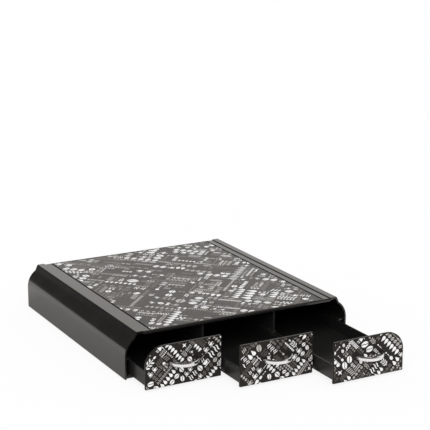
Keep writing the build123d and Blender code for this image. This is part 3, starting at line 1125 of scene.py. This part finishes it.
@dataclass
class Drawer:
    """One drawer: tray, front, printed facing, bow handle and screws. Sizes in millimetres."""

    place: Place
    nodes: Nodes
    finishes: Finishes
    facing_round: float = 0.3
    shoulder: float = 25.45
    corner: float = 1.0
    handle_foot: float = 3.2
    foot_margin: float = 0.5
    layout: PrintLayout = PrintLayout((3.8, 5.4, 10.0, 13.0, 13.0), longest=54.0, thinnest=1.4, gap=0.6)
    seeds: ClassVar[dict[Place, int]] = {Place.LEFT: 4, Place.MIDDLE: 24, Place.RIGHT: 23}

    @property
    def body(self) -> str:
        """Name of the drawer's moving body."""
        return f"{self.place.value}_drawer"

    def dress(self) -> None:
        """Put the finishes on the drawer's solids."""
        coats = {
            "tray": Coat.DRAWER,
            "front": Coat.DRAWER,
            "facing": Coat.FRONT_FILM,
            "handle": Coat.HANDLE,
            "handle_screws": Coat.SCREW,
            "front_screws": Coat.SCREW,
        }
        for piece, coat in coats.items():
            dress(self.nodes[f"{self.body}_{piece}"], self.finishes[coat])

    def make_print(self) -> bpy.types.Object:
        """Print the drawer's facing.

        Returns:
            The print, riding on its drawer.
        """
        low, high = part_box(f"{self.body}_facing")
        size = (high - low) / MM
        inset = self.facing_round
        small = self.corner - inset
        large = self.shoulder - inset
        corners = {
            Place.LEFT: (small, small, small, large),
            Place.MIDDLE: (small, small, small, small),
            Place.RIGHT: (small, small, large, small),
        }[self.place]
        middle = Vector(((low.x + high.x) / 2, low.y, (low.z + high.z) / 2))
        made = Print(
            name=f"{self.body}_print",
            seed=self.seeds[self.place],
            layout=self.layout,
            origin=middle,
            right=Vector((1, 0, 0)),
            up=Vector((0, 0, 1)),
            border=sheet_border(size.x - 2 * inset, size.z - 2 * inset, corners),
            keep_clear=self._handle_feet(middle),
        ).build(self.finishes)
        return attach(made, self.body)

    def _handle_feet(self, middle: Vector) -> list[tuple[Point, Point]]:
        """Find where the handle's two feet stand on the facing.

        Args:
            middle: Middle of the facing.

        Returns:
            Lowest and highest corner of each foot's rectangle, with a margin.
        """
        low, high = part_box(f"{self.body}_handle")
        margin = self.foot_margin
        reach = self.handle_foot + margin
        left = (low.x - middle.x) / MM
        right = (high.x - middle.x) / MM
        under = (low.z - middle.z) / MM - margin
        over = (high.z - middle.z) / MM + margin
        return [
            ((left - margin, under), (left + reach, over)),
            ((right - reach, under), (right + margin, over)),
        ]


@dataclass
class Studio:
    """Pale floor, white surroundings with a dark ceiling, one large soft lamp and the camera.

    Lengths are in metres and angles in degrees. The card, the ceiling and the skirt show in reflections
    alone, and their places are shares of a heading of length 1.
    """

    housing: tuple[Vector, Vector]
    floor_reach: float = 14.0
    floor_colour: Colour = grey(0.9)
    floor_glow: float = 0.86
    # In reflections the floor is pale far off and has a painted shade next to the housing, which fades out
    # over the reach below
    floor_far: Colour = linear(251, 248, 245)
    floor_painted_shade: Colour = linear(192, 189, 186)
    painted_shade_reach: float = 0.12
    ambient: Colour = grey(0.6)
    card: Colour = linear(255, 252, 247)
    card_height: float = 0.136
    card_right: float = 0.95
    card_back: float = 0.3
    card_blur: float = 0.12
    ceiling: Colour = grey(0.07)
    skirt: Colour = grey(0.16)
    skirt_full: float = 0.12
    skirt_top: float = 0.3
    skirt_from: float = 0.2
    skirt_to: float = 0.7
    lamp_strength: float = 2.05
    lamp_angle: float = 55.0
    lamp_from: Vector = field(default_factory=lambda: Vector((-0.55, -0.75, 1.0)))
    eye: Vector = field(default_factory=lambda: Vector((-0.8350, -1.5328, 0.6310)))
    yaw: float = 28.88
    pitch: float = 14.59
    roll: float = 0.2
    lens: float = 112.3
    sensor: float = 36.0

    def build(self) -> None:
        """Make the floor, the world, the lamp and the camera, and set the view."""
        self._make_floor()
        self._make_world()
        self._make_lamp()
        self._make_camera()
        bpy.context.scene.view_settings.view_transform = "Standard"

    @staticmethod
    def _seen(tree: NodeTree) -> tuple[Flow, Flow]:
        """Mask of what is seen directly or through glass, and mask of what is seen in a reflection."""
        eye = tree.node("ShaderNodeLightPath", output="Is Camera Ray")
        return eye.at_least(tree.other(eye, "Is Transmission Ray")), tree.other(eye, "Is Glossy Ray")

    def _beside_housing(self, tree: NodeTree) -> Flow:
        """Measure how far a place on the floor lies outside the housing.

        Args:
            tree: The floor's node tree.

        Returns:
            The distance, below 0 under the housing.
        """
        low, high = self.housing
        middle = (low + high) / 2
        half = (high - low) / 2
        place = tree.node("ShaderNodeNewGeometry", output="Position")
        x = tree.node("ShaderNodeSeparateXYZ", None, {"Vector": place}, "X")
        y = tree.other(x, "Y")
        return (abs(x - middle.x) - half.x).at_least(abs(y - middle.y) - half.y)

    def _make_floor(self) -> None:
        """Lay the floor. It stays pale to the eye and keeps a soft shadow; in reflections it is pale far off
        and carries a painted shade next to the housing.
        """
        reach = self.floor_reach
        mesh = bpy.data.meshes.new("floor")
        mesh.from_pydata([(-reach, -reach, 0), (reach, -reach, 0), (reach, reach, 0), (-reach, reach, 0)],
                         [], [(0, 1, 2, 3)])
        material, tree = new_material("pale_floor")
        direct, mirrored = self._seen(tree)
        paper = tree.node("ShaderNodeBsdfDiffuse", None, {"Color": self.floor_colour})
        # Painted shade: in reflections the floor darkens next to the housing and pales again further off
        past_painted_shade = tree.step(self._beside_housing(tree), 0.0, self.painted_shade_reach)
        shine = tree.mix(direct, tree.mix(past_painted_shade, self.floor_painted_shade, self.floor_far), grey(1.0))
        glow = tree.node("ShaderNodeEmission", None, {"Color": shine, "Strength": 1.0})
        share = self.floor_glow * direct.at_least(mirrored)
        tree.surface(tree.node("ShaderNodeMixShader", None, {0: share, 1: paper, 2: glow}))
        mesh.materials.append(material)
        floor = bpy.data.objects.new("floor", mesh)
        bpy.context.scene.collection.objects.link(floor)

    def _make_world(self) -> None:
        """Make the world: white to the eye, and in reflections a card, a dark ceiling and a dark skirt."""
        world = bpy.data.worlds.new("studio")
        world.use_nodes = True
        bpy.context.scene.world = world
        tree = NodeTree(world.node_tree)
        heading = tree.node("ShaderNodeTexCoord", output="Generated")
        across = tree.node("ShaderNodeSeparateXYZ", None, {"Vector": heading}, "X")
        away = tree.other(across, "Y")
        height = tree.other(across, "Z")
        edge = height - self.card_right * across - self.card_back * away - self.card_height
        room = tree.mix(tree.step(edge, -self.card_blur, self.card_blur), self.card, self.ceiling)
        low = 1.0 - tree.step(height, self.skirt_full, self.skirt_top)
        room = tree.mix(low * tree.step(-away, self.skirt_from, self.skirt_to), room, self.skirt)
        direct, mirrored = self._seen(tree)
        colour = tree.mix(direct, tree.mix(mirrored, self.ambient, room), grey(1.0))
        background = tree.node("ShaderNodeBackground", None, {"Color": colour, "Strength": 1.0})
        tree.node("ShaderNodeOutputWorld", None, {"Surface": background})

    def _make_lamp(self) -> None:
        """Hang the large soft lamp, front left, out of the reflections."""
        data = bpy.data.lights.new("soft_lamp", "SUN")
        data.energy = self.lamp_strength
        data.angle = math.radians(self.lamp_angle)
        lamp = bpy.data.objects.new("soft_lamp", data)
        lamp.rotation_mode = "QUATERNION"
        lamp.rotation_quaternion = (-self.lamp_from).to_track_quat("-Z", "Y")
        lamp.visible_glossy = False
        bpy.context.scene.collection.objects.link(lamp)

    def _make_camera(self) -> None:
        """Stand the camera at the photograph's place and angle."""
        data = bpy.data.cameras.new("camera")
        data.lens = self.lens
        data.sensor_width = self.sensor
        yaw = math.radians(self.yaw)
        pitch = math.radians(self.pitch)
        ahead = Vector((math.sin(yaw) * math.cos(pitch), math.cos(yaw) * math.cos(pitch), -math.sin(pitch)))
        side = Vector((math.cos(yaw), -math.sin(yaw), 0))
        top = side.cross(ahead)
        turned = Matrix((side, top, -ahead)).transposed()
        camera = bpy.data.objects.new("camera", data)
        camera.matrix_world = (Matrix.Translation(self.eye) @ turned.to_4x4()
                               @ Matrix.Rotation(math.radians(self.roll), 4, "Z"))
        bpy.context.scene.collection.objects.link(camera)
        bpy.context.scene.camera = camera


def main() -> None:
    """Load the frame, dress every piece, add the prints and set up the studio."""
    logging.basicConfig(level=logging.INFO, format="%(message)s")
    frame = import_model()
    finishes = make_finishes()
    housing = Housing(frame["nodes"], finishes)
    housing.dress()
    housing.make_print()
    for place in Place:
        drawer = Drawer(place, frame["nodes"], finishes)
        drawer.dress()
        drawer.make_print()
    Studio(housing.box()).build()


if __name__ == "__main__":
    main()
